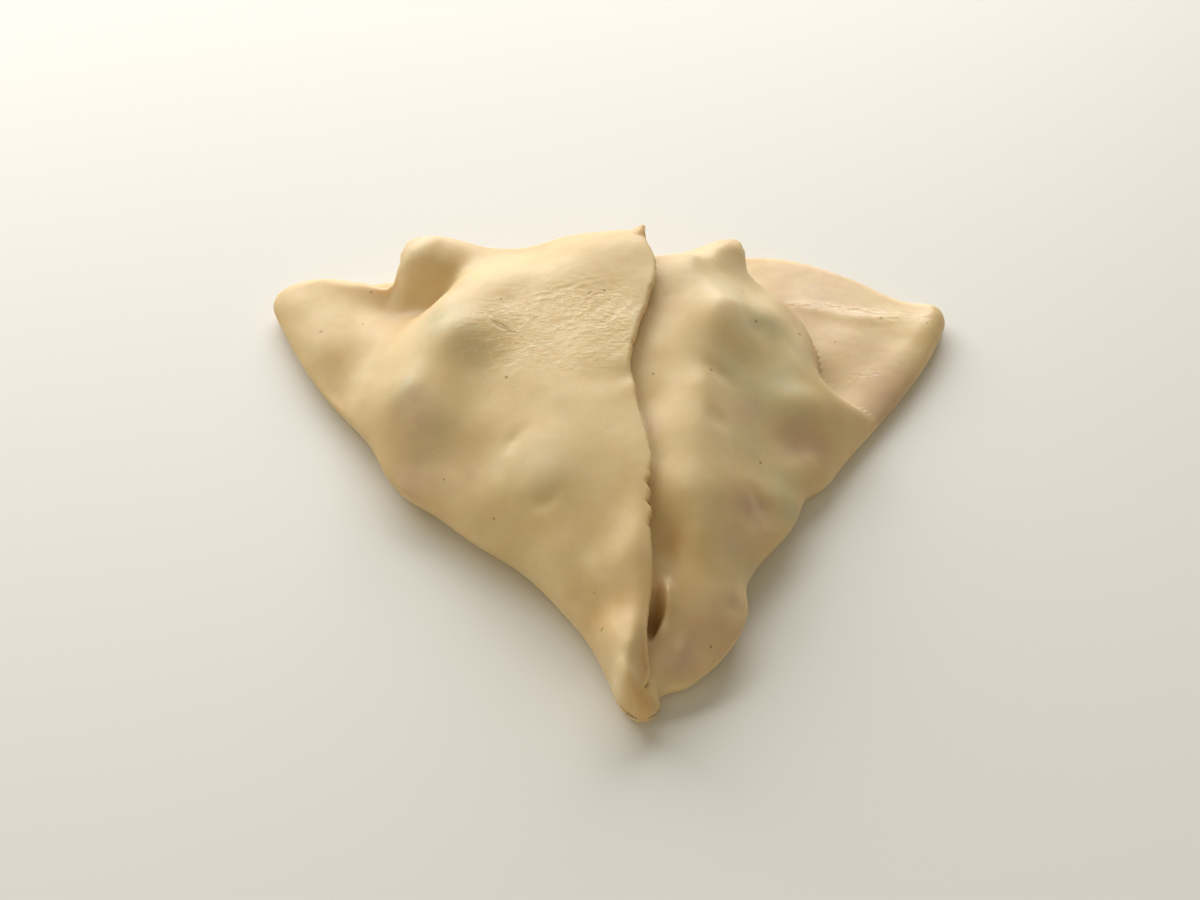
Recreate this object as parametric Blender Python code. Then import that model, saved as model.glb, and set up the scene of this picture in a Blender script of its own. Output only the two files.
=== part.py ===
"""Samosa, folded from one sheet of raw dough and not yet cooked.

The dough makes a flat cone whose point faces the viewer. The left flap lies over
the right flap and ends in a free edge that runs from the rolled point to a small
horn at the back. Two corners stay empty and lie flat, the left one as a thick arm
and the right one as a double layer with a folded edge. Everything is one solid.

All lengths below are millimetres: x to the right, y to the back, z up.
"""
import math

import bmesh
import bpy
import numpy as np

MM = 0.001
DOUGH = 1.6  # thickness of one sheet of dough
CREVICE = 2.4  # how far the gap under the free edge reaches to the left
LIP_ROOM = 0.55  # on either side of the free edge, kept for its rounding
CROWDING = 0.55  # how much closer the grid's columns stand at the outline and the free edge
ROLL_FROM, ROLL_TO = -32.6, -37.2  # y between which the two flaps become the rolled point
LEFT_COLUMNS = 21
RIGHT_COLUMNS = 21
ROWS = 52

# Outline seen from above: x, y, height of the outermost line, fold radius on top, fold radius below
LEFT_EDGE = (
    (3.4, -39.8, 2.3, 2.2, 1.8),
    (2.2, -39.2, 2.4, 2.2, 1.8),
    (1.2, -37.9, 2.4, 1.8, 1.7),
    (0.3, -35.6, 2.3, 1.5, 1.5),
    (-1.4, -31.4, 2.4, 2.4, 1.8),
    (-3.3, -28.0, 2.8, 4.0, 2.2),
    (-5.7, -24.8, 3.0, 4.6, 2.6),
    (-11.7, -18.2, 3.4, 5.4, 3.0),
    (-18.1, -13.6, 3.7, 6.0, 3.2),
    (-23.2, -9.4, 4.0, 6.4, 3.4),
    (-26.9, -6.8, 4.3, 6.4, 3.4),
    (-29.8, -2.9, 4.3, 6.0, 3.2),
    (-31.5, 0.8, 4.0, 5.6, 3.0),
    (-37.3, 8.9, 2.8, 5.6, 2.2),
    (-43.3, 17.9, 2.7, 5.2, 2.0),
    (-47.4, 25.9, 2.5, 3.6, 1.8),
    (-48.4, 29.2, 2.5, 3.2, 1.8),
    (-48.1, 30.9, 2.5, 2.8, 1.8),
)
RIGHT_EDGE = (
    (4.5, -39.8, 2.3, 2.2, 1.8),
    (5.5, -39.2, 2.3, 1.9, 1.7),
    (6.1, -37.9, 2.1, 1.6, 1.5),
    (6.0, -36.6, 1.9, 1.7, 1.2),
    (7.1, -35.8, 2.2, 2.2, 1.3),
    (9.1, -35.3, 2.5, 3.4, 1.5),
    (10.9, -34.2, 2.9, 4.2, 1.8),
    (13.0, -32.5, 3.3, 5.0, 2.2),
    (15.2, -29.9, 3.6, 5.2, 2.6),
    (16.7, -27.3, 3.8, 5.0, 2.8),
    (17.2, -24.8, 3.9, 4.6, 2.8),
    (17.1, -22.6, 4.0, 4.6, 2.8),
    (18.1, -19.6, 4.1, 5.0, 2.8),
    (20.6, -16.0, 4.1, 5.2, 2.8),
    (23.9, -11.7, 3.9, 4.6, 2.6),
    (25.2, -8.6, 3.5, 4.2, 2.4),
    (26.2, -6.4, 2.9, 3.4, 1.8),
    (28.5, -4.4, 2.4, 3.2, 1.4),
    (30.8, -1.4, 2.1, 4.6, 1.2),
    (36.3, 6.0, 1.6, 4.8, 1.0),
    (43.6, 16.0, 1.5, 4.4, 0.9),
    (48.0, 24.1, 1.8, 3.4, 1.0),
    (48.6, 26.6, 1.8, 2.6, 1.0),
    (48.3, 28.0, 1.8, 2.2, 1.0),
)
REAR_EDGE = (
    (-48.1, 30.9, 2.5, 2.8, 1.8),
    (-46.6, 32.3, 2.4, 2.6, 1.8),
    (-42.8, 33.2, 2.2, 2.4, 1.4),
    (-37.0, 33.9, 1.4, 1.6, 1.0),
    (-31.0, 35.2, 1.0, 1.2, 0.8),
    (-20.0, 38.2, 0.9, 1.0, 0.8),
    (-7.0, 40.3, 0.9, 1.0, 0.8),
    (6.0, 41.0, 0.9, 1.0, 0.8),
    (16.0, 40.2, 0.9, 1.0, 0.8),
    (26.4, 39.1, 1.0, 1.1, 0.8),
    (32.0, 36.7, 1.2, 1.3, 0.8),
    (38.4, 32.9, 1.4, 1.5, 0.9),
    (42.0, 30.4, 1.5, 1.6, 0.9),
    (45.8, 29.4, 1.6, 1.6, 0.9),
    (47.6, 28.9, 1.7, 1.9, 0.9),
    (48.3, 28.0, 1.8, 2.2, 1.0),
)

# Free edge of the left flap, from the point to the horn and down the back: x, y
SEAM = (
    (3.9, -39.9),
    (4.3, -37.4),
    (4.9, -35.6),
    (4.7, -33.8),
    (4.5, -31.8),
    (4.6, -29.8),
    (5.0, -27.3),
    (5.2, -22.7),
    (5.1, -15.2),
    (5.4, -9.8),
    (4.5, -4.0),
    (3.6, 0.5),
    (3.3, 2.6),
    (2.8, 4.6),
    (3.2, 7.6),
    (4.0, 11.4),
    (5.7, 17.1),
    (6.4, 20.3),
    (6.4, 23.8),
    (5.5, 26.6),
    (5.2, 29.8),
    (5.3, 33.0),
    (5.5, 37.0),
    (5.6, 41.2),
)

# Where the filled body stands on the flat dough behind it: x, y, fold radius
FOOT = (
    (-45.0, 36.0, 2.4),
    (-41.0, 33.4, 2.6),
    (-36.5, 32.0, 3.0),
    (-33.0, 30.8, 2.2),
    (-31.0, 29.9, 0.8),
    (-30.3, 31.8, 0.8),
    (-29.6, 34.2, 1.5),
    (-26.5, 36.0, 3.6),
    (-18.0, 36.0, 5.0),
    (-8.0, 35.6, 5.0),
    (3.0, 35.2, 4.6),
    (9.0, 34.6, 4.6),
    (14.5, 35.6, 4.0),
    (18.4, 36.0, 2.6),
    (20.1, 34.4, 1.5),
    (20.3, 31.6, 1.1),
    (20.6, 29.4, 1.3),
    (23.0, 27.0, 1.8),
    (26.6, 23.6, 2.2),
    (28.8, 19.2, 2.4),
    (29.2, 14.6, 2.4),
    (30.0, 11.2, 2.4),
    (32.6, 9.2, 3.6),
    (36.0, 7.4, 3.4),
    (39.5, 4.0, 2.4),
)

# Heights the dough passes through: x, y, z
LEFT_SPOTS = (
    (3.0, -38.5, 6.0),
    (2.0, -36.4, 7.6),
    (4.6, -37.2, 4.9),
    (0.8, -34.2, 7.8),
    (2.8, -33.2, 8.3),
    (4.5, -34.2, 5.5),
    (3.4, -30.4, 8.6),
    (-2.2, -28.0, 7.2),
    (4.2, -27.3, 9.2),
    (-6.0, -20.0, 9.2),
    (1.3, -22.5, 10.6),
    (-15.0, -10.0, 8.9),
    (-3.6, -16.0, 10.9),
    (-2.6, -20.4, 9.5),
    (4.8, -12.5, 13.6),
    (-8.6, -6.0, 13.2),
    (-22.0, -5.0, 7.5),
    (-27.2, 0.5, 8.6),
    (-26.2, 5.2, 11.2),
    (-22.8, 1.6, 10.8),
    (-16.0, 3.0, 12.0),
    (3.6, 0.5, 15.4),
    (-6.3, 3.0, 14.8),
    (-31.8, 10.0, 6.9),
    (-24.2, 9.4, 12.3),
    (-21.8, 13.5, 14.0),
    (-12.0, 10.0, 14.6),
    (3.8, 11.4, 16.9),
    (-3.0, 15.5, 16.7),
    (-1.6, 6.0, 16.1),
    (-13.4, 17.6, 14.9),
    (-12.6, 23.6, 15.0),
    (-22.6, 19.0, 13.0),
    (-20.2, 23.0, 13.0),
    (-17.9, 28.2, 12.3),
    (-35.6, 10.5, 4.2),
    (-38.6, 17.2, 5.1),
    (-31.8, 17.0, 6.2),
    (-44.1, 27.6, 4.8),
    (-45.6, 30.2, 4.4),
    (-40.5, 30.0, 5.6),
    (-36.2, 29.2, 5.8),
    (-32.4, 28.2, 5.4),
    (-33.4, 23.0, 5.3),
    (-29.0, 22.6, 5.6),
    (-26.0, 20.4, 9.2),
    (-30.8, 28.6, 5.7),
    (-27.4, 26.0, 6.3),
    (-23.2, 25.4, 8.6),
    (-23.2, 28.0, 11.2),
    (-29.6, 31.6, 9.9),
    (-28.8, 29.6, 10.1),
    (-27.2, 32.4, 11.9),
    (-26.8, 28.8, 10.9),
    (-24.0, 30.2, 12.2),
    (-23.8, 32.0, 12.5),
    (-20.4, 31.0, 12.3),
    (-13.5, 28.8, 12.3),
    (-9.4, 28.4, 13.5),
    (-5.8, 28.6, 15.5),
    (-1.9, 27.6, 17.2),
    (4.0, 29.0, 16.9),
    (5.8, 22.0, 17.4),
    (-18.0, 34.5, 10.5),
    (-8.0, 33.5, 12.0),
    (2.0, 33.5, 13.0),
    (7.4, -34.4, 4.4),
    (10.4, -32.6, 4.5),
)
RIGHT_SPOTS = (
    (6.4, -36.0, 3.3),
    (5.4, -33.6, 4.5),
    (5.2, -31.0, 5.0),
    (9.2, -32.2, 4.6),
    (6.6, -27.0, 6.6),
    (12.6, -28.0, 6.4),
    (10.2, -24.0, 8.2),
    (14.4, -23.0, 7.0),
    (7.2, -18.6, 9.2),
    (11.4, -18.6, 10.5),
    (14.6, -18.0, 8.8),
    (9.4, -13.4, 12.9),
    (14.8, -13.6, 10.6),
    (20.8, -11.3, 6.5),
    (6.5, -8.5, 13.0),
    (12.0, -7.6, 13.5),
    (17.2, -6.8, 9.6),
    (23.2, -8.0, 6.0),
    (24.8, -2.0, 6.2),
    (6.0, 0.5, 13.7),
    (10.2, -0.6, 14.6),
    (10.4, -4.2, 14.4),
    (12.0, 3.0, 14.4),
    (17.0, 1.0, 10.6),
    (25.4, 3.0, 8.1),
    (28.4, 3.8, 7.4),
    (31.0, 3.8, 5.6),
    (34.5, 5.0, 3.7),
    (7.0, 9.5, 14.9),
    (12.6, 10.0, 15.0),
    (17.9, 9.5, 11.8),
    (26.0, 11.0, 9.3),
    (17.2, 17.4, 14.8),
    (20.5, 15.2, 11.7),
    (22.6, 17.8, 10.6),
    (26.2, 19.0, 8.8),
    (23.8, 22.6, 9.4),
    (8.2, 18.0, 15.3),
    (16.0, 18.6, 14.9),
    (15.6, 13.4, 15.1),
    (19.4, 21.0, 11.9),
    (21.2, 24.2, 9.9),
    (7.0, 25.6, 14.8),
    (7.0, 28.8, 12.2),
    (11.6, 26.4, 15.0),
    (11.8, 29.2, 12.6),
    (15.8, 30.0, 13.0),
    (18.4, 31.2, 11.6),
    (19.6, 29.4, 10.0),
    (15.6, 25.4, 12.8),
    (12.0, 34.0, 9.8),
)
FLAT_SPOTS = (
    (-40.0, 33.0, 2.6),
    (-33.0, 33.5, 1.9),
    (-20.0, 36.5, 1.8),
    (0.0, 38.5, 1.8),
    (16.0, 38.0, 1.9),
    (26.0, 36.0, 2.9),
    (23.5, 29.4, 3.2),
    (30.0, 27.0, 3.3),
    (36.3, 25.3, 3.5),
    (34.0, 19.0, 3.3),
    (32.0, 12.8, 2.6),
    (35.0, 31.0, 3.4),
    (42.0, 28.4, 3.3),
    (45.6, 26.6, 3.5),
    (41.5, 21.5, 3.4),
    (45.2, 22.6, 3.9),
    (39.4, 14.0, 3.3),
    (35.6, 9.4, 3.0),
)

# Filling pressing through the dough, and dents: x, y, half length, half width, turn in degrees, height
LEFT_LUMPS = (
    (-20.4, 12.0, 3.8, 3.4, 20, 0.8),
    (-15.4, 8.0, 4.8, 3.2, 30, -0.5),
    (-24.2, -3.6, 3.8, 2.8, -10, -0.7),
    (-8.2, -10.6, 4.2, 3.6, 0, 0.8),
    (-1.8, -28.4, 4.2, 2.6, 45, -0.7),
    (3.4, -20.0, 2.0, 5.0, 0, 0.7),
)
RIGHT_LUMPS = (
    (22.4, 18.2, 2.8, 3.0, 0, 0.5),
    (19.2, 16.6, 1.3, 3.2, 10, -0.5),
    (26.0, 5.0, 4.0, 2.4, 10, 0.5),
    (25.6, -0.4, 3.4, 2.0, 15, -0.5),
    (22.6, -9.6, 2.6, 2.0, 20, 0.4),
    (17.4, -13.4, 3.0, 2.0, 30, -0.6),
    (14.0, -1.6, 1.4, 1.4, 0, -0.35),
    (15.2, -26.0, 1.6, 1.3, 0, -0.4),
    (7.2, -19.6, 2.0, 3.6, 0, -0.6),
    (10.4, -31.2, 2.6, 1.6, -30, -0.3),
)

# Narrow ridges and valleys in the dough, each a line of x, y, height, half width
LEFT_FOLDS = (
    ((-6.5, 3.4, 0.0, 2.0), (-0.2, 2.6, -0.15, 2.0), (2.6, 3.4, -0.4, 1.3)),
    ((-9.0, -27.0, 0.0, 1.8), (-6.0, -24.0, 0.4, 1.8), (-11.0, -17.8, 0.0, 2.0)),
    ((2.4, -37.4, 0.0, 0.9), (2.6, -34.4, 0.35, 1.0), (3.2, -31.0, 0.4, 1.3), (3.6, -26.0, 0.2, 1.5)),
    ((-13.0, -6.6, 0.0, 1.0), (-12.2, -4.4, -0.3, 1.0), (-9.6, -2.6, 0.0, 1.0)),
    ((-11.4, -12.6, 0.0, 1.0), (-8.4, -13.8, -0.4, 1.1), (-5.2, -12.0, 0.0, 1.0)),
    ((-20.8, 27.4, 0.0, 1.0), (-22.4, 25.8, -0.4, 1.2), (-24.4, 24.0, -1.0, 1.3), (-28.4, 23.0, 0.0, 1.4)),
    ((-18.6, 26.6, 0.0, 1.4), (-20.6, 23.6, 0.7, 1.5), (-22.6, 18.6, 0.5, 1.6), (-22.0, 15.0, 0.0, 1.8)),
    ((4.8, 27.6, 0.0, 1.6), (5.2, 29.6, 1.6, 1.3), (5.2, 32.0, 0.0, 1.4)),
)
RIGHT_FOLDS = (
    ((4.9, -23.6, 0.0, 0.3), (5.0, -25.3, -2.8, 0.45), (5.6, -27.2, -4.8, 0.75), (4.7, -30.8, 0.0, 0.3)),
    ((6.3, -23.2, 0.0, 0.8), (7.1, -25.4, 1.3, 0.8), (6.7, -28.2, 0.7, 0.8), (5.9, -30.6, 0.0, 0.8)),
    ((15.4, 23.0, 0.0, 1.8), (14.9, 16.8, 0.4, 1.8), (13.4, 9.0, 0.2, 1.8)),
    ((12.8, 7.6, 0.0, 1.0), (14.8, 6.0, -0.5, 1.0), (17.2, 4.4, 0.0, 1.0)),
    ((12.4, 6.0, 0.0, 1.8), (12.6, -1.6, 0.4, 1.8), (11.8, -8.0, 0.0, 2.0)),
    ((17.6, -9.0, 0.0, 1.0), (19.4, -11.4, -0.7, 1.0), (21.2, -14.0, 0.0, 1.0)),
    ((8.4, -33.4, 0.0, 0.8), (8.7, -31.6, 0.4, 0.8), (9.2, -29.4, 0.0, 0.8)),
)
FLAT_FOLDS = (
    ((24.0, 28.4, 0.0, 1.0), (30.0, 27.2, 0.15, 1.2), (36.3, 25.3, 0.2, 1.2), (44.6, 27.0, 0.0, 1.2)),
)


def smooth_line(points, at):
    """A natural cubic spline through the points by chord length; further columns are read linearly."""
    points = np.array(points, float)
    chord = np.r_[0.0, np.cumsum(np.hypot(*np.diff(points[:, :2], axis=0).T))]
    at = np.clip(at, 0.0, 1.0) * chord[-1]
    gap = np.diff(chord)
    bend = np.eye(len(points))
    pull = np.zeros((len(points), 2))
    for i in range(1, len(points) - 1):
        bend[i, i - 1 : i + 2] = gap[i - 1], 2 * (gap[i - 1] + gap[i]), gap[i]
        pull[i] = 6 * (points[i + 1, :2] - points[i, :2]) / gap[i]
        pull[i] -= 6 * (points[i, :2] - points[i - 1, :2]) / gap[i - 1]
    second = np.linalg.solve(bend, pull)
    i = np.clip(np.searchsorted(chord, at, side="right") - 1, 0, len(gap) - 1)
    h = gap[i][:, None]
    b = ((at - chord[i]) / gap[i])[:, None]
    a = 1 - b
    place = a * points[i, :2] + b * points[i + 1, :2]
    place += ((a**3 - a) * second[i] + (b**3 - b) * second[i + 1]) * h**2 / 6
    rest = [np.interp(at, chord, column) for column in points[:, 2:].T]
    return np.column_stack([place, *rest])


def nearest_on(line, x, y):
    """Distance from each place to a line of short segments, and the line's other columns there."""
    start, step = line[:-1], np.diff(line, axis=0)
    long2 = (step[:, :2] ** 2).sum(axis=1)
    away, found = np.empty(x.size), np.empty((x.size, line.shape[1] - 2))
    for first in range(0, x.size, 20000):
        part = slice(first, first + 20000)
        px, py = x[part, None] - start[:, 0], y[part, None] - start[:, 1]
        t = np.clip((px * step[:, 0] + py * step[:, 1]) / long2, 0.0, 1.0)
        square = (px - t * step[:, 0]) ** 2 + (py - t * step[:, 1]) ** 2
        best = square.argmin(axis=1)
        each = np.arange(len(best))
        away[part] = np.sqrt(square[each, best])
        found[part] = start[best, 2:] + t[each, best, None] * step[best, 2:]
    return away, found


def inside(line, x, y):
    """Even and odd crossings of a closed line."""
    count = np.zeros(x.size, int)
    for (x0, y0), (x1, y1) in zip(line[:, :2], np.roll(line[:, :2], -1, axis=0)):
        crosses = (y0 > y) != (y1 > y)
        if y1 != y0:
            count += crosses & (x < x0 + (y - y0) * (x1 - x0) / (y1 - y0))
    return count % 2 == 1


def sheet_through(spots, x, y):
    """A thin plate that passes through every spot height."""
    spots = np.array(spots, float)

    def plate(px, py):
        square = (px[:, None] - spots[:, 0]) ** 2 + (py[:, None] - spots[:, 1]) ** 2
        return np.column_stack([0.5 * square * np.log(square + 1e-9), np.ones(len(px)), px, py])

    own = plate(spots[:, 0], spots[:, 1])
    count = len(spots)
    system = np.zeros((count + 3, count + 3))
    system[:count] = own
    system[count:, :count] = own[:, count:].T
    weights = np.linalg.solve(system, np.r_[spots[:, 2], 0.0, 0.0, 0.0])
    return plate(x, y) @ weights


def lumps_at(lumps, x, y):
    z = np.zeros(x.size)
    for cx, cy, along, across, turn, height in lumps:
        c, s = math.cos(math.radians(turn)), math.sin(math.radians(turn))
        u = ((x - cx) * c + (y - cy) * s) / along
        v = ((y - cy) * c - (x - cx) * s) / across
        z += height * np.exp(-(u * u + v * v))
    return z


def folds_at(folds, x, y):
    z = np.zeros(x.size)
    for fold in folds:
        away, found = nearest_on(smooth_line(fold, np.linspace(0, 1, 25)), x, y)
        z += found[:, 0] * np.exp(-((away / found[:, 1]) ** 2))
    return z


def rounded(t):
    """Quarter circle: 0 at the outline, 1 from one fold radius inwards."""
    t = np.clip(t, 0.0, 1.0)
    return np.sqrt(t * (2.0 - t))


def outline():
    left = smooth_line(LEFT_EDGE, np.linspace(0, 1, 160))
    rear = smooth_line(REAR_EDGE, np.linspace(0, 1, 160))
    right = smooth_line(RIGHT_EDGE, np.linspace(1, 0, 160))
    return np.vstack([left, rear[1:], right[1:], left[:1]])


def foot():
    line = smooth_line(FOOT, np.linspace(0, 1, 160))
    front = np.array([(90.0, -20.0, 3.0), (0.0, -90.0, 3.0), (-90.0, 0.0, 3.0), (-90.0, 60.0, 3.0)])
    return np.vstack([line, front])


def top_heights(x, y, on_left):
    """Height of the dough's upper surface, for the left flap or the right one."""
    spots, lumps, folds = (
        (LEFT_SPOTS, LEFT_LUMPS, LEFT_FOLDS) if on_left else (RIGHT_SPOTS, RIGHT_LUMPS, RIGHT_FOLDS)
    )
    body = sheet_through(spots, x, y) + lumps_at(lumps, x, y) + folds_at(folds, x, y)
    flat = sheet_through(FLAT_SPOTS, x, y)
    line = foot()
    away, radius = nearest_on(line, x, y)
    away = np.where(inside(line, x, y), away, 0.0)
    flat += folds_at(FLAT_FOLDS, x, y)
    z = flat + (body - flat) * rounded(away / radius[:, 0])
    away, fold = nearest_on(outline(), x, y)
    return fold[:, 0] + (z - fold[:, 0]) * rounded(away / fold[:, 1])


def under_heights(x, y):
    """The underside: flat on the table, rising round the outline."""
    away, fold = nearest_on(outline(), x, y)
    return fold[:, 0] * (1.0 - rounded(away / fold[:, 2]))


def across(at, f):
    """Places on the rows at, a share f of the way from the left edge to the right edge."""
    shape = np.broadcast(at, f).shape
    at, f = np.broadcast_to(at, shape).ravel(), np.broadcast_to(f, shape).ravel()
    left = smooth_line(LEFT_EDGE, at)[:, :2]
    right = smooth_line(RIGHT_EDGE, at)[:, :2]
    ends = np.array([REAR_EDGE[0][:2], REAR_EDGE[-1][:2]])
    bow = smooth_line(REAR_EDGE, f)[:, :2] - (ends[0] + (ends[1] - ends[0]) * f[:, None])
    place = left + (right - left) * f[:, None] + bow * (at**6)[:, None]
    return place[:, 0].reshape(shape), place[:, 1].reshape(shape)


def seam_x(y):
    line = smooth_line(SEAM, np.linspace(0, 1, 400))
    return np.interp(y, line[:, 1], line[:, 0])


def seam_share(at):
    """The share of each row at which it meets the free edge."""
    low, high = np.zeros(at.size), np.ones(at.size)
    for _ in range(26):
        middle = (low + high) / 2
        x, y = across(at, middle)
        short = x < seam_x(y)
        low, high = np.where(short, middle, low), np.where(short, high, middle)
    return (low + high) / 2


def spread(count):
    """Shares 0 to 1 that crowd towards either side."""
    t = np.linspace(0, 1, count)
    return t - CROWDING * np.sin(2 * np.pi * t) / (2 * np.pi)


# The free edge in section: share of the crevice to the left, share of the room beside the edge to the
# right, share of the dough thickness down, share of the gap below it down
LIP = (
    (0.0, -0.8, 0.0, 0.0),
    (0.0, -0.3, 0.07, 0.0),
    (0.0, 0.0, 0.35, 0.0),
    (0.0, 0.0, 0.72, 0.0),
    (0.0, -0.3, 0.96, 0.0),
    (0.5, 0.0, 1.0, 0.1),
    (1.0, 0.0, 1.0, 0.5),
    (0.45, 0.0, 1.0, 0.9),
    (0.0, 0.3, 1.0, 1.0),
)


def samosa_sheets(left_columns, right_columns, rows):
    """The upper surface and the underside as grids of places, row by row from the point to the back."""
    at = np.interp(np.linspace(0, 1, rows), (0.0, 0.1, 0.62, 1.0), (0.0, 0.045, 0.8, 1.0))
    share = seam_share(at)
    sx, sy = across(at, share)
    reach_left, reach_right = (np.hypot(*(np.array(across(at, end)) - (sx, sy))) for end in (0.0, 1.0))
    room_left, room_right = np.minimum(LIP_ROOM, 0.12 * reach_left), np.minimum(LIP_ROOM, 0.12 * reach_right)
    left_end = share * (1 - room_left / reach_left)
    right_end = share + (1 - share) * room_right / reach_right
    left_f = left_end[:, None] * spread(left_columns)
    right_f = right_end[:, None] + (1 - right_end[:, None]) * spread(right_columns)

    lx, ly = across(at[:, None], left_f)
    rx, ry = across(at[:, None], right_f)
    lz = top_heights(lx.ravel(), ly.ravel(), True).reshape(lx.shape)
    rz = top_heights(rx.ravel(), ry.ravel(), False).reshape(rx.shape)

    # Both flaps are one roll at the point
    rolled = np.clip((ry - ROLL_FROM) / (ROLL_TO - ROLL_FROM), 0.0, 1.0)
    as_left = top_heights(rx.ravel(), ry.ravel(), True).reshape(rx.shape)
    rz += rolled * rolled * (3 - 2 * rolled) * (as_left - rz)

    # The step between the flaps, and how much of the free edge is there
    step = np.maximum(lz[:, -1] - rz[:, 0], 0.0)
    thick = np.minimum(DOUGH, 0.75 * step)
    formed = np.clip((step - 0.25) / 0.9, 0.0, 1.0)
    formed = formed * formed * (3 - 2 * formed)
    deep = np.minimum(CREVICE, 0.3 * reach_left)
    lip = []
    for k, (back, right, down, drop) in enumerate(LIP):
        t = (k + 1) / (len(LIP) + 1)
        edge_x = sx + right * np.where(right < 0, room_left, room_right) - back * deep
        edge_z = lz[:, -1] - down * thick - drop * (step - thick)
        plain_x = lx[:, -1] + t * (rx[:, 0] - lx[:, -1])
        plain_z = lz[:, -1] + t * (rz[:, 0] - lz[:, -1])
        x = plain_x + formed * (edge_x - plain_x)
        lip.append(np.stack([x, sy, plain_z + formed * (edge_z - plain_z)], axis=-1))

    left = np.stack([lx, ly, lz], axis=-1)
    right = np.stack([rx, ry, rz], axis=-1)
    upper = np.concatenate([left, np.stack(lip, axis=1), right], axis=1)

    ux, uy = across(at[:, None], np.concatenate([left_f, share[:, None], right_f], axis=1))
    uz = under_heights(ux.ravel(), uy.ravel()).reshape(ux.shape)
    return upper, np.stack([ux, uy, uz], axis=-1), left_columns


def samosa_mesh(name, left_columns, right_columns, rows):
    upper, under, first_lip = samosa_sheets(left_columns, right_columns, rows)
    lip = upper.shape[1] - under.shape[1] + 1
    columns = upper.shape[1]

    # Both sheets share the outline, and the free edge closes to one place at either end
    top = np.arange(upper.shape[0] * columns).reshape(upper.shape[:2])
    top[0, first_lip : first_lip + lip] = top[0, first_lip]
    top[-1, first_lip : first_lip + lip] = top[-1, first_lip]
    bottom = np.full_like(top, -1)
    plain = np.r_[np.arange(first_lip + 1), np.arange(first_lip + lip, columns)]
    bottom[:, plain] = top.size + np.arange(under.shape[0] * under.shape[1]).reshape(under.shape[:2])
    bottom[:, first_lip + 1 : first_lip + lip] = bottom[:, [first_lip]]
    bottom[0], bottom[-1] = top[0], top[-1]
    bottom[:, 0], bottom[:, -1] = top[:, 0], top[:, -1]

    places = np.concatenate([upper.reshape(-1, 3), under.reshape(-1, 3)])
    mesh = bmesh.new()
    used = np.unique(np.concatenate([top.ravel(), bottom.ravel()]))
    points = {int(i): mesh.verts.new(tuple(places[i] * MM)) for i in used}
    for grid, flip in ((top, False), (bottom, True)):
        for r in range(grid.shape[0] - 1):
            for c in range(columns - 1):
                ring = [grid[r, c], grid[r, c + 1], grid[r + 1, c + 1], grid[r + 1, c]]
                ring = [i for k, i in enumerate(ring) if i != ring[k - 1]]
                if len(set(ring)) < 3:
                    continue
                face = mesh.faces.new([points[int(i)] for i in (reversed(ring) if flip else ring)])
                face.smooth = True
    bmesh.ops.triangulate(mesh, faces=[face for face in mesh.faces if len(face.verts) > 3])

    # The flat part of the underside needs no grid
    on_table = [v for v in mesh.verts if v.co.z < 1e-7]
    flat_edges = [e for e in mesh.edges if all(v.co.z < 1e-7 for v in e.verts)]
    bmesh.ops.dissolve_limit(mesh, angle_limit=1e-4, verts=on_table, edges=flat_edges)
    bmesh.ops.triangulate(mesh, faces=[face for face in mesh.faces if len(face.verts) > 3])
    mesh.normal_update()
    data = bpy.data.meshes.new(name)
    mesh.to_mesh(data)
    mesh.free()
    return data


def dough_material():
    material = bpy.data.materials.new("raw_dough")
    material.use_nodes = True
    shader = material.node_tree.nodes["Principled BSDF"]
    shader.inputs["Base Color"].default_value = (0.71, 0.53, 0.31, 1.0)
    shader.inputs["Roughness"].default_value = 0.48
    shader.inputs["Metallic"].default_value = 0.0
    material.diffuse_color = (0.71, 0.53, 0.31, 1.0)
    return material


def build():
    for item in list(bpy.data.objects):
        bpy.data.objects.remove(item, do_unlink=True)
    data = samosa_mesh("samosa", LEFT_COLUMNS, RIGHT_COLUMNS, ROWS)

    # The origin is the middle of the box round the samosa, at table height
    place = np.empty(len(data.vertices) * 3)
    data.vertices.foreach_get("co", place)
    place = place.reshape(-1, 3)
    place -= [*(place[:, :2].min(axis=0) + place[:, :2].max(axis=0)) / 2, place[:, 2].min()]
    data.vertices.foreach_set("co", place.ravel())
    data.materials.append(dough_material())
    samosa = bpy.data.objects.new("samosa", data)
    bpy.context.scene.collection.objects.link(samosa)
    return samosa


build()
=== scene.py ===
# Samosa of raw dough, folded from one sheet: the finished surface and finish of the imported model
import math

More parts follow.
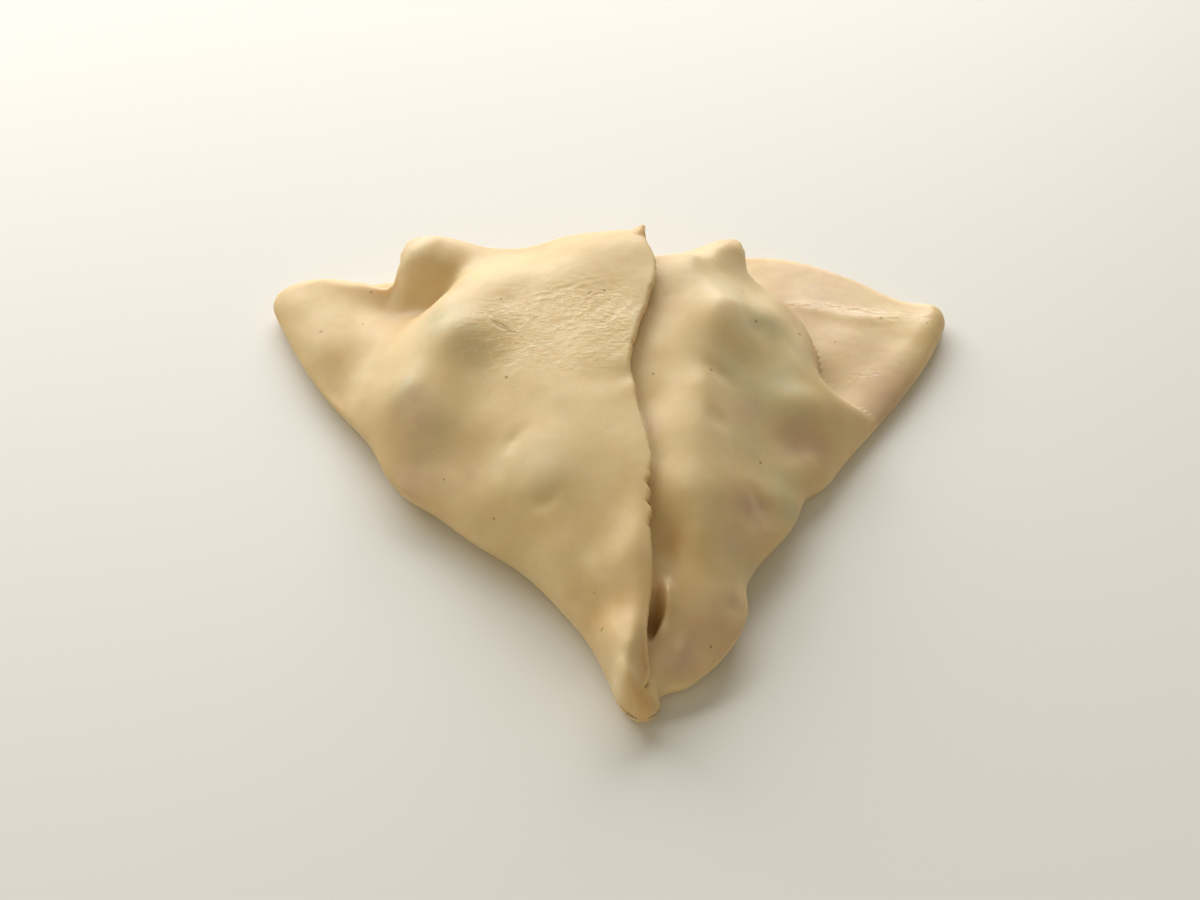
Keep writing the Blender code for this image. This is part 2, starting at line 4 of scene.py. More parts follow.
import bpy
import numpy as np
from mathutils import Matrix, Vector


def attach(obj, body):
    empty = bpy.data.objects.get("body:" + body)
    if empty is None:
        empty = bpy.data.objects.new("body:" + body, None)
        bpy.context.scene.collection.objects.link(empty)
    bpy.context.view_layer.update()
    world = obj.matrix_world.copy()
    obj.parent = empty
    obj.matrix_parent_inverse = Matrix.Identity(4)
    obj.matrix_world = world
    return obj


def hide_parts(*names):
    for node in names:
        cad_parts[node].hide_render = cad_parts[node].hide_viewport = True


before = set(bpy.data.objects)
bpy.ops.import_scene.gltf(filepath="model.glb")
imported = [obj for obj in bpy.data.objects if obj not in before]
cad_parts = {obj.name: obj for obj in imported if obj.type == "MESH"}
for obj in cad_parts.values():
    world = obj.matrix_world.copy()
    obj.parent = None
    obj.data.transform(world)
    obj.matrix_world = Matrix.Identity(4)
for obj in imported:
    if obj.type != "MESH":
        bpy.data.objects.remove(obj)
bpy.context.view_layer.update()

# All lengths of the samosa are millimetres: x to the right, y to the back, z up
samosa = {
    "middle": (0.101, 0.621),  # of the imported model's box, which becomes the origin
    "dough": 1.6,  # thickness of one sheet of dough
    "crevice": 2.4,  # how far the gap under the free edge reaches to the left
    "edgeRoom": 0.55,  # on either side of the free edge, kept for its rounding
    "crowding": 0.55,  # how much closer the grid's columns stand at the outline and the free edge
    "rollFrom": -32.6,  # y between which the two flaps become the rolled point
    "rollTo": -37.2,
    "leftColumns": 92,
    "rightColumns": 92,
    "edgeColumns": 16,
    "rows": 244,
    "handRelief": 0.05,  # unevenness from folding by hand
    "skinRelief": 0.004,  # finer unevenness of the dough's skin
    "rowPlaces": (0.0, 0.045, 0.8, 1.0),  # shares of the length from the point to the back, and
    "rowShares": (0.0, 0.1, 0.62, 1.0),  # the share of all rows that lie before each: they crowd at the ends
    "edgeForms": (0.25, 1.15),  # step between which the free edge becomes a rounded edge with a gap under it
    "reliefFade": 2.0,  # distance from the outline over which the relief sets in
    "wrinkleRelief": 0.028,  # stretched and pressed skin
}

# Outline seen from above: x, y, height of the outermost line, fold radius on top, fold radius below
leftEdge = (
    (3.4, -39.8, 2.3, 2.2, 1.8), (2.2, -39.2, 2.4, 2.2, 1.8), (1.2, -37.9, 2.4, 1.8, 1.7),
    (0.3, -35.6, 2.3, 1.5, 1.5), (-1.4, -31.4, 2.4, 2.4, 1.8), (-3.3, -28.0, 2.8, 4.0, 2.2),
    (-5.7, -24.8, 3.0, 4.6, 2.6), (-11.7, -18.2, 3.4, 5.4, 3.0), (-18.1, -13.6, 3.7, 6.0, 3.2),
    (-23.2, -9.4, 4.0, 6.4, 3.4), (-26.9, -6.8, 4.3, 6.4, 3.4), (-29.8, -2.9, 4.3, 6.0, 3.2),
    (-31.5, 0.8, 4.0, 5.6, 3.0), (-37.3, 8.9, 2.8, 5.6, 2.2), (-43.3, 17.9, 2.7, 5.2, 2.0),
    (-47.4, 25.9, 2.5, 3.6, 1.8), (-48.4, 29.2, 2.5, 3.2, 1.8), (-48.1, 30.9, 2.5, 2.8, 1.8),
)
rightEdge = (
    (4.5, -39.8, 2.3, 2.2, 1.8), (5.5, -39.2, 2.3, 1.9, 1.7), (6.1, -37.9, 2.1, 1.6, 1.5),
    (6.0, -36.6, 1.9, 1.7, 1.2), (7.1, -35.8, 2.2, 2.2, 1.3), (9.1, -35.3, 2.5, 3.4, 1.5),
    (10.9, -34.2, 2.9, 4.2, 1.8), (13.0, -32.5, 3.3, 5.0, 2.2), (15.2, -29.9, 3.6, 5.2, 2.6),
    (16.7, -27.3, 3.8, 5.0, 2.8), (17.2, -24.8, 3.9, 4.6, 2.8), (17.1, -22.6, 4.0, 4.6, 2.8),
    (18.1, -19.6, 4.1, 5.0, 2.8), (20.6, -16.0, 4.1, 5.2, 2.8), (23.9, -11.7, 3.9, 4.6, 2.6),
    (25.2, -8.6, 3.5, 4.2, 2.4), (26.2, -6.4, 2.9, 3.4, 1.8), (28.5, -4.4, 2.4, 3.2, 1.4),
    (30.8, -1.4, 2.1, 4.6, 1.2), (36.3, 6.0, 1.6, 4.8, 1.0), (43.6, 16.0, 1.5, 4.4, 0.9),
    (48.0, 24.1, 1.8, 3.4, 1.0), (48.6, 26.6, 1.8, 2.6, 1.0), (48.3, 28.0, 1.8, 2.2, 1.0),
)
rearEdge = (
    (-48.1, 30.9, 2.5, 2.8, 1.8), (-46.6, 32.3, 2.4, 2.6, 1.8), (-42.8, 33.2, 2.2, 2.4, 1.4),
    (-37.0, 33.9, 1.4, 1.6, 1.0), (-31.0, 35.2, 1.0, 1.2, 0.8), (-20.0, 38.2, 0.9, 1.0, 0.8),
    (-7.0, 40.3, 0.9, 1.0, 0.8), (6.0, 41.0, 0.9, 1.0, 0.8), (16.0, 40.2, 0.9, 1.0, 0.8),
    (26.4, 39.1, 1.0, 1.1, 0.8), (32.0, 36.7, 1.2, 1.3, 0.8), (38.4, 32.9, 1.4, 1.5, 0.9),
    (42.0, 30.4, 1.5, 1.6, 0.9), (45.8, 29.4, 1.6, 1.6, 0.9), (47.6, 28.9, 1.7, 1.9, 0.9),
    (48.3, 28.0, 1.8, 2.2, 1.0),
)
# The free edge of the left flap: x, y
seamLine = (
    (3.9, -39.9), (4.3, -37.4), (4.9, -35.6), (4.7, -33.8), (4.5, -31.8), (4.6, -29.8), (5.0, -27.3),
    (5.2, -22.7), (5.1, -15.2), (5.4, -9.8), (4.5, -4.0), (3.6, 0.5), (3.3, 2.6), (2.8, 4.6), (3.2, 7.6),
    (4.0, 11.4), (5.7, 17.1), (6.4, 20.3), (6.4, 23.8), (5.5, 26.6), (5.2, 29.8), (5.3, 33.0), (5.5, 37.0),
    (5.6, 41.2),
)
# Foot of the filled body on the flat dough behind it: x, y, radius
footLine = (
    (-45.0, 36.0, 2.4), (-41.0, 33.4, 2.6), (-36.5, 32.0, 3.0), (-33.0, 30.8, 2.2), (-31.0, 29.9, 0.8),
    (-30.3, 31.8, 0.8), (-29.6, 34.2, 1.5), (-26.5, 36.0, 3.6), (-18.0, 36.0, 5.0), (-8.0, 35.6, 5.0),
    (3.0, 35.2, 4.6), (9.0, 34.6, 4.6), (14.5, 35.6, 4.0), (18.4, 36.0, 2.6), (20.1, 34.4, 1.5),
    (20.3, 31.6, 1.1), (20.6, 29.4, 1.3), (23.0, 27.0, 1.8), (26.6, 23.6, 2.2), (28.8, 19.2, 2.4),
    (29.2, 14.6, 2.4), (30.0, 11.2, 2.4), (32.6, 9.2, 3.6), (36.0, 7.4, 3.4), (39.5, 4.0, 2.4),
)
# Heights of the upper surface: x, y, z
leftSpots = (
    (3.0, -38.5, 6.0), (2.0, -36.4, 7.6), (4.6, -37.2, 4.9), (0.8, -34.2, 7.8), (2.8, -33.2, 8.3),
    (4.5, -34.2, 5.5), (3.4, -30.4, 8.6), (-2.2, -28.0, 7.2), (4.2, -27.3, 9.2), (-6.0, -20.0, 9.2),
    (1.3, -22.5, 10.6), (-15.0, -10.0, 8.9), (-3.6, -16.0, 10.9), (-2.6, -20.4, 9.5), (4.8, -12.5, 13.6),
    (-8.6, -6.0, 13.2), (-22.0, -5.0, 7.5), (-27.2, 0.5, 8.6), (-26.2, 5.2, 11.2), (-22.8, 1.6, 10.8),
    (-16.0, 3.0, 12.0), (3.6, 0.5, 15.4), (-6.3, 3.0, 14.8), (-31.8, 10.0, 6.9), (-24.2, 9.4, 12.3),
    (-21.8, 13.5, 14.0), (-12.0, 10.0, 14.6), (3.8, 11.4, 16.9), (-3.0, 15.5, 16.7), (-1.6, 6.0, 16.1),
    (-13.4, 17.6, 14.9), (-12.6, 23.6, 15.0), (-22.6, 19.0, 13.0), (-20.2, 23.0, 13.0), (-17.9, 28.2, 12.3),
    (-35.6, 10.5, 4.2), (-38.6, 17.2, 5.1), (-31.8, 17.0, 6.2), (-44.1, 27.6, 4.8), (-45.6, 30.2, 4.4),
    (-40.5, 30.0, 5.6), (-36.2, 29.2, 5.8), (-32.4, 28.2, 5.4), (-33.4, 23.0, 5.3), (-29.0, 22.6, 5.6),
    (-26.0, 20.4, 9.2), (-30.8, 28.6, 5.7), (-27.4, 26.0, 6.3), (-23.2, 25.4, 8.6), (-23.2, 28.0, 11.2),
    (-29.6, 31.6, 9.9), (-28.8, 29.6, 10.1), (-27.2, 32.4, 11.9), (-26.8, 28.8, 10.9), (-24.0, 30.2, 12.2),
    (-23.8, 32.0, 12.5), (-20.4, 31.0, 12.3), (-13.5, 28.8, 12.3), (-9.4, 28.4, 13.5), (-5.8, 28.6, 15.5),
    (-1.9, 27.6, 17.2), (4.0, 29.0, 16.9), (5.8, 22.0, 17.4), (-18.0, 34.5, 10.5), (-8.0, 33.5, 12.0),
    (2.0, 33.5, 13.0), (7.4, -34.4, 4.4), (10.4, -32.6, 4.5),
)
rightSpots = (
    (6.4, -36.0, 3.3), (5.4, -33.6, 4.5), (5.2, -31.0, 5.0), (9.2, -32.2, 4.6), (6.6, -27.0, 6.6),
    (12.6, -28.0, 6.4), (10.2, -24.0, 8.2), (14.4, -23.0, 7.0), (7.2, -18.6, 9.2), (11.4, -18.6, 10.5),
    (14.6, -18.0, 8.8), (9.4, -13.4, 12.9), (14.8, -13.6, 10.6), (20.8, -11.3, 6.5), (6.5, -8.5, 13.0),
    (12.0, -7.6, 13.5), (17.2, -6.8, 9.6), (23.2, -8.0, 6.0), (24.8, -2.0, 6.2), (6.0, 0.5, 13.7),
    (10.2, -0.6, 14.6), (10.4, -4.2, 14.4), (12.0, 3.0, 14.4), (17.0, 1.0, 10.6), (25.4, 3.0, 8.1),
    (28.4, 3.8, 7.4), (31.0, 3.8, 5.6), (34.5, 5.0, 3.7), (7.0, 9.5, 14.9), (12.6, 10.0, 15.0),
    (17.9, 9.5, 11.8), (26.0, 11.0, 9.3), (17.2, 17.4, 14.8), (20.5, 15.2, 11.7), (22.6, 17.8, 10.6),
    (26.2, 19.0, 8.8), (23.8, 22.6, 9.4), (8.2, 18.0, 15.3), (16.0, 18.6, 14.9), (15.6, 13.4, 15.1),
    (19.4, 21.0, 11.9), (21.2, 24.2, 9.9), (7.0, 25.6, 14.8), (7.0, 28.8, 12.2), (11.6, 26.4, 15.0),
    (11.8, 29.2, 12.6), (15.8, 30.0, 13.0), (18.4, 31.2, 11.6), (19.6, 29.4, 10.0), (15.6, 25.4, 12.8),
    (12.0, 34.0, 9.8),
)
flatSpots = (
    (-40.0, 33.0, 2.6), (-33.0, 33.5, 1.9), (-20.0, 36.5, 1.8), (0.0, 38.5, 1.8), (16.0, 38.0, 1.9),
    (26.0, 36.0, 2.9), (23.5, 29.4, 3.2), (30.0, 27.0, 3.3), (36.3, 25.3, 3.5), (34.0, 19.0, 3.3),
    (32.0, 12.8, 2.6), (35.0, 31.0, 3.4), (42.0, 28.4, 3.3), (45.6, 26.6, 3.5), (41.5, 21.5, 3.4),
    (45.2, 22.6, 3.9), (39.4, 14.0, 3.3), (35.6, 9.4, 3.0),
)
# Lumps and dents of the filling: x, y, half length, half width, turn in degrees, height
leftLumps = (
    (-20.4, 12.0, 3.8, 3.4, 20, 0.8), (-15.4, 8.0, 4.8, 3.2, 30, -0.5), (-24.2, -3.6, 3.8, 2.8, -10, -0.7),
    (-8.2, -10.6, 4.2, 3.6, 0, 0.8), (-1.8, -28.4, 4.2, 2.6, 45, -0.7), (3.4, -20.0, 2.0, 5.0, 0, 0.7),
)
rightLumps = (
    (22.4, 18.2, 2.8, 3.0, 0, 0.5), (19.2, 16.6, 1.3, 3.2, 10, -0.5), (26.0, 5.0, 4.0, 2.4, 10, 0.5),
    (25.6, -0.4, 3.4, 2.0, 15, -0.5), (22.6, -9.6, 2.6, 2.0, 20, 0.4), (17.4, -13.4, 3.0, 2.0, 30, -0.6),
    (14.0, -1.6, 1.4, 1.4, 0, -0.35), (15.2, -26.0, 1.6, 1.3, 0, -0.4), (7.2, -19.6, 2.0, 3.6, 0, -0.6),
    (10.4, -31.2, 2.6, 1.6, -30, -0.3),
)
# Folds and creases along lines of x, y, height, half width
leftFolds = (
    ((-6.5, 3.4, 0.0, 2.0), (-0.2, 2.6, -0.15, 2.0), (2.6, 3.4, -0.4, 1.3)),
    ((-9.0, -27.0, 0.0, 1.8), (-6.0, -24.0, 0.4, 1.8), (-11.0, -17.8, 0.0, 2.0)),
    ((2.4, -37.4, 0.0, 0.9), (2.6, -34.4, 0.35, 1.0), (3.2, -31.0, 0.4, 1.3), (3.6, -26.0, 0.2, 1.5)),
    ((-13.0, -6.6, 0.0, 1.0), (-12.2, -4.4, -0.3, 1.0), (-9.6, -2.6, 0.0, 1.0)),
    ((-11.4, -12.6, 0.0, 1.0), (-8.4, -13.8, -0.4, 1.1), (-5.2, -12.0, 0.0, 1.0)),
    ((-20.8, 27.4, 0.0, 1.0), (-22.4, 25.8, -0.4, 1.2), (-24.4, 24.0, -1.0, 1.3), (-28.4, 23.0, 0.0, 1.4)),
    ((-18.6, 26.6, 0.0, 1.4), (-20.6, 23.6, 0.7, 1.5), (-22.6, 18.6, 0.5, 1.6), (-22.0, 15.0, 0.0, 1.8)),
    ((4.8, 27.6, 0.0, 1.6), (5.2, 29.6, 1.6, 1.3), (5.2, 32.0, 0.0, 1.4)),
)
rightFolds = (
    ((4.9, -23.6, 0.0, 0.3), (5.0, -25.3, -2.8, 0.45), (5.6, -27.2, -4.8, 0.75), (4.7, -30.8, 0.0, 0.3)),
    ((6.3, -23.2, 0.0, 0.8), (7.1, -25.4, 1.3, 0.8), (6.7, -28.2, 0.7, 0.8), (5.9, -30.6, 0.0, 0.8)),
    ((15.4, 23.0, 0.0, 1.8), (14.9, 16.8, 0.4, 1.8), (13.4, 9.0, 0.2, 1.8)),
    ((12.8, 7.6, 0.0, 1.0), (14.8, 6.0, -0.5, 1.0), (17.2, 4.4, 0.0, 1.0)),
    ((12.4, 6.0, 0.0, 1.8), (12.6, -1.6, 0.4, 1.8), (11.8, -8.0, 0.0, 2.0)),
    ((17.6, -9.0, 0.0, 1.0), (19.4, -11.4, -0.7, 1.0), (21.2, -14.0, 0.0, 1.0)),
    ((8.4, -33.4, 0.0, 0.8), (8.7, -31.6, 0.4, 0.8), (9.2, -29.4, 0.0, 0.8)),
)
flatFolds = (
    ((24.0, 28.4, 0.0, 1.0), (30.0, 27.2, 0.15, 1.2), (36.3, 25.3, 0.2, 1.2), (44.6, 27.0, 0.0, 1.2)),
)

# Small tears in the free edge: y, step to the right, half width
edgeTears = (
    (-9.6, 0.15, 0.4), (-10.7, -0.3, 0.5), (-12.6, -0.5, 0.9), (-15.2, -0.35, 0.35), (-16.6, 0.2, 0.6),
    (-18.4, -0.25, 0.35), (8.4, -0.2, 0.5), (14.6, 0.2, 0.8), (17.6, -0.2, 0.5),
)

# Stretched, wrinkled skin on the left flap: x, y, half length, half width, turn in degrees, strength
wrinkledPlaces = (
    (-13.5, 11.5, 6.5, 5.5, -20, 1.0), (-5.0, 15.5, 7.5, 4.5, -10, 1.0), (-4.0, 7.5, 7.0, 4.0, 0, 0.7),
    (1.8, 11.0, 3.5, 6.0, 0, 0.7),
)
# The same on the flat flap, where it was pressed down
pressedPlaces = (
    (26.0, 28.2, 4.0, 0.7, 4, 0.8), (33.0, 27.6, 5.0, 0.9, -8, 0.9), (39.0, 25.8, 5.0, 1.6, -12, 0.7),
    (45.0, 25.4, 2.6, 1.6, -30, 0.5), (35.4, 14.4, 3.0, 1.4, 20, 0.7), (30.0, 17.6, 1.6, 5.0, 0, 0.3),
)
# Moist places that shine: x, y, half length, half width, turn in degrees, strength
moistPlaces = (
    (-26.6, 32.0, 4.0, 1.6, -5, 1.0), (7.2, -25.2, 0.9, 2.0, 0, 1.0), (2.6, -35.6, 1.2, 3.4, -10, 0.5),
    (33.0, 24.0, 12.0, 5.0, -10, 0.6), (-1.0, 15.4, 5.0, 4.4, -10, 1.2), (46.0, 27.0, 2.4, 2.0, 0, 0.8),
)

# Tints, x, y, radius, strength: green over peas and rosy over the filling, both also painted shade on slopes
# turned away from the light
greenAndShadePlaces = (
    (-21.8, 14.4, 3.4, 1.0), (-18.4, 9.8, 3.2, 0.6), (-26.8, 5.2, 2.4, 0.9), (-22.6, -0.8, 2.6, 0.5),
    (-8.1, -9.6, 3.4, 0.6), (-7.2, -0.2, 3.2, 0.2), (-12.0, -8.0, 4.0, 0.2), (14.9, 18.4, 2.6, 0.3),
    (19.6, 15.6, 3.2, 0.6), (22.6, 16.8, 3.0, 0.7), (24.6, 12.8, 3.2, 0.9), (21.0, 4.2, 4.2, 0.7),
    (26.0, 3.4, 2.6, 0.5), (22.5, -6.8, 3.4, 0.7), (23.4, -10.8, 2.6, 0.8), (17.2, -20.4, 3.0, 0.5),
    (16.4, -26.0, 2.4, 0.5), (12.6, -16.4, 3.6, 0.3), (17.8, 8.0, 4.0, 0.5), (23.6, 7.0, 3.4, 0.6),
    (18.6, -2.6, 3.2, 0.6), (17.0, 21.0, 2.4, 0.4), (10.0, 22.0, 4.0, 0.3),
)
# Rosy: the filling, and painted shade on dark facets, shaded strips and hollows
rosyAndShadePlaces = (
    (-25.4, 2.2, 2.8, 0.9), (-25.2, -3.8, 3.2, 0.5), (26.8, 0.0, 2.8, 1.0), (22.8, -1.0, 2.4, 0.5),
    (18.6, -12.6, 2.6, 1.0), (19.0, 3.0, 1.8, 0.5), (5.2, -3.7, 1.4, 0.6), (9.8, -31.4, 4.2, 0.7),
    (14.0, -28.0, 3.6, 0.6), (33.0, 19.0, 8.0, 0.45), (30.0, 32.0, 7.0, 0.6), (40.0, 13.6, 4.4, 0.7),
    (36.8, 8.8, 3.0, 0.9), (16.2, -17.0, 3.0, 0.5), (-19.0, -6.0, 5.0, 0.35), (-26.0, -7.0, 3.0, 0.4),
    (17.4, 0.4, 1.6, 0.5), (24.4, 0.6, 1.8, 0.6), (7.6, -33.0, 2.0, 0.7), (15.6, -25.0, 1.4, 0.6),
)
# Painted glow and painted shade in deep folds and creases, where light passes from dough to dough
glowAndShadePlaces = (
    (-25.6, 26.6, 3.4, 0.6), (-30.6, 24.4, 3.0, 0.5), (-26.4, 21.8, 2.6, 0.7), (7.8, -19.4, 3.0, 0.8),
    (-36.6, 9.4, 3.2, 0.6), (-14.0, 32.0, 4.0, 0.4), (-6.0, 32.0, 4.0, 0.4), (1.6, 32.6, 4.0, 0.4),
    (0.4, -28.4, 2.6, 0.8), (7.0, -13.0, 2.6, 0.6), (-2.6, -26.0, 4.0, 0.4), (6.8, -26.0, 2.2, 0.8),
    (6.6, 8.0, 1.8, 0.5), (8.0, 16.0, 2.0, 0.5), (3.9, -33.4, 0.8, 0.7), (4.0, -35.4, 1.0, 0.9),
    (4.1, -37.4, 1.3, 1.0), (4.1, -39.4, 1.3, 0.8), (-3.4, -16.4, 4.4, 0.3), (23.4, 13.6, 2.4, 0.3),
)
# Painted highlights: thin raised places made lighter where they catch the light
highlightPlaces = (
    (-26.8, 30.6, 3.2, 0.9), (-29.6, 29.0, 1.8, 0.7), (1.2, -36.0, 1.5, 1.1), (1.6, -33.4, 1.5, 0.8),
    (2.6, -29.4, 1.2, 0.4), (7.4, -26.0, 0.9, 0.7), (6.4, -29.0, 1.0, 0.8), (16.0, 17.6, 2.0, 0.9),
    (16.4, 20.6, 1.8, 0.7), (-8.0, -9.6, 2.6, 0.6), (3.6, 14.0, 2.6, 0.5), (-1.4, 20.0, 4.0, 0.4),
    (9.4, -11.6, 2.6, 0.5), (16.6, 28.6, 1.8, 0.5), (11.4, -2.0, 2.4, 0.4),
)
# Small tears in the stretched skin: x, y, half length, half width, turn in degrees
skinTears = ((-14.3, 13.0, 1.7, 0.5, -32), (-12.8, 11.9, 0.8, 0.3, -12), (-2.4, 16.8, 0.6, 0.2, 40))


# A natural cubic spline through the points by chord length; columns after the second are read linearly
def smoothLine(points, at):
    points = np.array(points, float)
    chord = np.r_[0.0, np.cumsum(np.hypot(*np.diff(points[:, :2], axis=0).T))]
    at = np.clip(at, 0.0, 1.0) * chord[-1]
    gap = np.diff(chord)
    slope = np.diff(points[:, :2], axis=0) / gap[:, None]
    bend = np.diag(np.r_[1.0, 2 * (gap[:-1] + gap[1:]), 1.0])
    bend[1:-1, :-2] += np.diag(gap[:-1])
    bend[1:-1, 2:] += np.diag(gap[1:])
    second = np.linalg.solve(bend, np.pad(6 * np.diff(slope, axis=0), ((1, 1), (0, 0))))
    i = np.clip(np.searchsorted(chord, at, side="right") - 1, 0, len(gap) - 1)
    h = gap[i][:, None]
    b = ((at - chord[i]) / gap[i])[:, None]
    a = 1 - b
    place = a * points[i, :2] + b * points[i + 1, :2]
    place += ((a**3 - a) * second[i] + (b**3 - b) * second[i + 1]) * h**2 / 6
    return np.column_stack([place, *(np.interp(at, chord, column) for column in points[:, 2:].T)])


# Distance to the nearest place on a line, positive on its right, and the line's other columns there
def nearestOn(line, x, y):
    start, step = line[:-1], np.diff(line, axis=0)
    long2 = (step[:, :2] ** 2).sum(axis=1)
    away, found = np.empty(x.size), np.empty((x.size, line.shape[1] - 2))
    for first in range(0, x.size, 20000):
        part = slice(first, first + 20000)
        px, py = x[part, None] - start[:, 0], y[part, None] - start[:, 1]
        t = np.clip((px * step[:, 0] + py * step[:, 1]) / long2, 0.0, 1.0)
        square = (px - t * step[:, 0]) ** 2 + (py - t * step[:, 1]) ** 2
        best = square.argmin(axis=1)
        each = np.arange(len(best))
        side = px[each, best] * step[best, 1] - py[each, best] * step[best, 0]
        away[part] = np.sqrt(square[each, best]) * np.sign(side)
        found[part] = start[best, 2:] + t[each, best, None] * step[best, 2:]
    return away, found


# A thin plate through every spot height: a plane plus a weight times r squared log r for each spot
def sheetThrough(spots, x, y):
    spots = np.array(spots, float)

    def plate(px, py):
        square = (px[:, None] - spots[:, 0]) ** 2 + (py[:, None] - spots[:, 1]) ** 2
        return np.column_stack([0.5 * square * np.log(square + 1e-9), np.ones(len(px)), px, py])

    own = plate(spots[:, 0], spots[:, 1])
    count = len(spots)
    system = np.zeros((count + 3, count + 3))
    system[:count] = own
    system[count:, :count] = own[:, count:].T
    return plate(x, y) @ np.linalg.solve(system, np.r_[spots[:, 2], 0.0, 0.0, 0.0])


# The sum of turned bell shapes: height times e to the minus squared distance in half lengths and widths
def lumpsAt(lumps, x, y):
    z = np.zeros(x.shape)
    for cx, cy, along, wide, turn, height in lumps:
        c, s = math.cos(math.radians(turn)), math.sin(math.radians(turn))
        u = ((x - cx) * c + (y - cy) * s) / along
        v = ((y - cy) * c - (x - cx) * s) / wide
        z += height * np.exp(-(u * u + v * v))
    return z


# The same bell shape drawn along lines
def foldsAt(folds, x, y):
    z = np.zeros(x.size)
    for fold in folds:
        away, found = nearestOn(smoothLine(fold, np.linspace(0, 1, 25)), x, y)
        z += found[:, 0] * np.exp(-((away / found[:, 1]) ** 2))
    return z


# A quarter circle: 0 at the outline, 1 from one fold radius inwards
def rounded(t):
    t = np.clip(t, 0.0, 1.0)
    return np.sqrt(t * (2.0 - t))


# Three t squared minus two t cubed between the two ends
def eased(value, low, high):
    t = np.clip((value - low) / (high - low), 0.0, 1.0)
    return t * t * (3 - 2 * t)


share = np.linspace(0, 1, 160)
outline = np.vstack([
    smoothLine(leftEdge, share), smoothLine(rearEdge, share)[1:], smoothLine(rightEdge, share[::-1])[1:],
    smoothLine(leftEdge, share[:1]),
])
foot = np.vstack([(-90.0, 60.0, 3.0), smoothLine(footLine, share), (90.0, -20.0, 3.0)])


# The upper surface of the left or right flap. The body stands on the flat dough behind it by a quarter circle
# round its foot, and both close down to the outline by a quarter circle of the outline's fold radius.
def topHeights(x, y, spots, lumps, folds):
    body = sheetThrough(spots, x, y) + lumpsAt(lumps, x, y) + foldsAt(folds, x, y)
    flat = sheetThrough(flatSpots, x, y) + foldsAt(flatFolds, x, y)
    away, radius = nearestOn(foot, x, y)
    z = flat + (body - flat) * rounded(away / radius[:, 0])
    away, fold = nearestOn(outline, x, y)
    return fold[:, 0] + (z - fold[:, 0]) * rounded(np.abs(away) / fold[:, 1])


# The underside, flat and rising to the outline by a quarter circle
def underHeights(x, y):
    away, fold = nearestOn(outline, x, y)
    return fold[:, 0] * (1.0 - rounded(np.abs(away) / fold[:, 2]))


# Places on row at, a share f of the way from the left edge to the right edge; rows bow out towards the back
def across(at, f):
    shape = np.broadcast(at, f).shape
    at, f = np.broadcast_to(at, shape).ravel(), np.broadcast_to(f, shape).ravel()
    left, right = smoothLine(leftEdge, at)[:, :2], smoothLine(rightEdge, at)[:, :2]
    first, last = np.array(rearEdge[0][:2]), np.array(rearEdge[-1][:2])
    bow = smoothLine(rearEdge, f)[:, :2] - (first + (last - first) * f[:, None])
    place = left + (right - left) * f[:, None] + bow * (at**6)[:, None]
    return place[:, 0].reshape(shape), place[:, 1].reshape(shape)


# The free edge's x at each y, with its small tears as bell shapes
def seamX(y):
    line = smoothLine(seamLine, np.linspace(0, 1, 400))
    x = np.interp(y, line[:, 1], line[:, 0])
    for middle, step, wide in edgeTears:
        x += step * np.exp(-(((y - middle) / wide) ** 2))
    worn = eased(y, -19.0, -17.0) * (1 - eased(y, -8.0, -5.0))
    return x + (0.03 + 0.07 * worn) * np.sin(4.1 * y + 1.3 * np.sin(1.7 * y))


# The share of each row at which it meets the free edge, by halving
def seamShare(at):
    low, high = np.zeros(at.size), np.ones(at.size)
    for _ in range(26):
        middle = (low + high) / 2
        x, y = across(at, middle)
        short = x < seamX(y)
        low, high = np.where(short, middle, low), np.where(short, high, middle)
    return (low + high) / 2


# Shares 0 to 1 that crowd towards either side: t minus a sine
def spread(count):
    t = np.linspace(0, 1, count)
    return t - samosa["crowding"] * np.sin(2 * np.pi * t) / (2 * np.pi)


# Evenly strong unevenness: the sum of plane waves with drawn directions and phases, whose lengths are long
# along the turn and wide across it
def unevenness(x, y, long, wide, turn, seed, waves=60):
    draw = np.random.default_rng(seed)
    c, s = math.cos(math.radians(turn)), math.sin(math.radians(turn))
    u, v = (x * c + y * s) / long, (y * c - x * s) / wide
    z = np.zeros(x.shape)
    for angle, pace, start in draw.uniform((0, 0.6, 0), (math.pi, 1.5, 2 * math.pi), (waves, 3)):
        z += np.cos(2 * math.pi * pace * (u * math.cos(angle) + v * math.sin(angle)) + start)
    return z * math.sqrt(2 / waves)


# Moves the places of a grid along its normal, which is the cross product of the steps to the neighbours
def raised(grid, height):
    normal = np.cross(np.gradient(grid, axis=1), np.gradient(grid, axis=0))
    long = np.linalg.norm(normal, axis=2, keepdims=True)
    return grid + normal / np.maximum(long, 1e-12) * height[..., None]


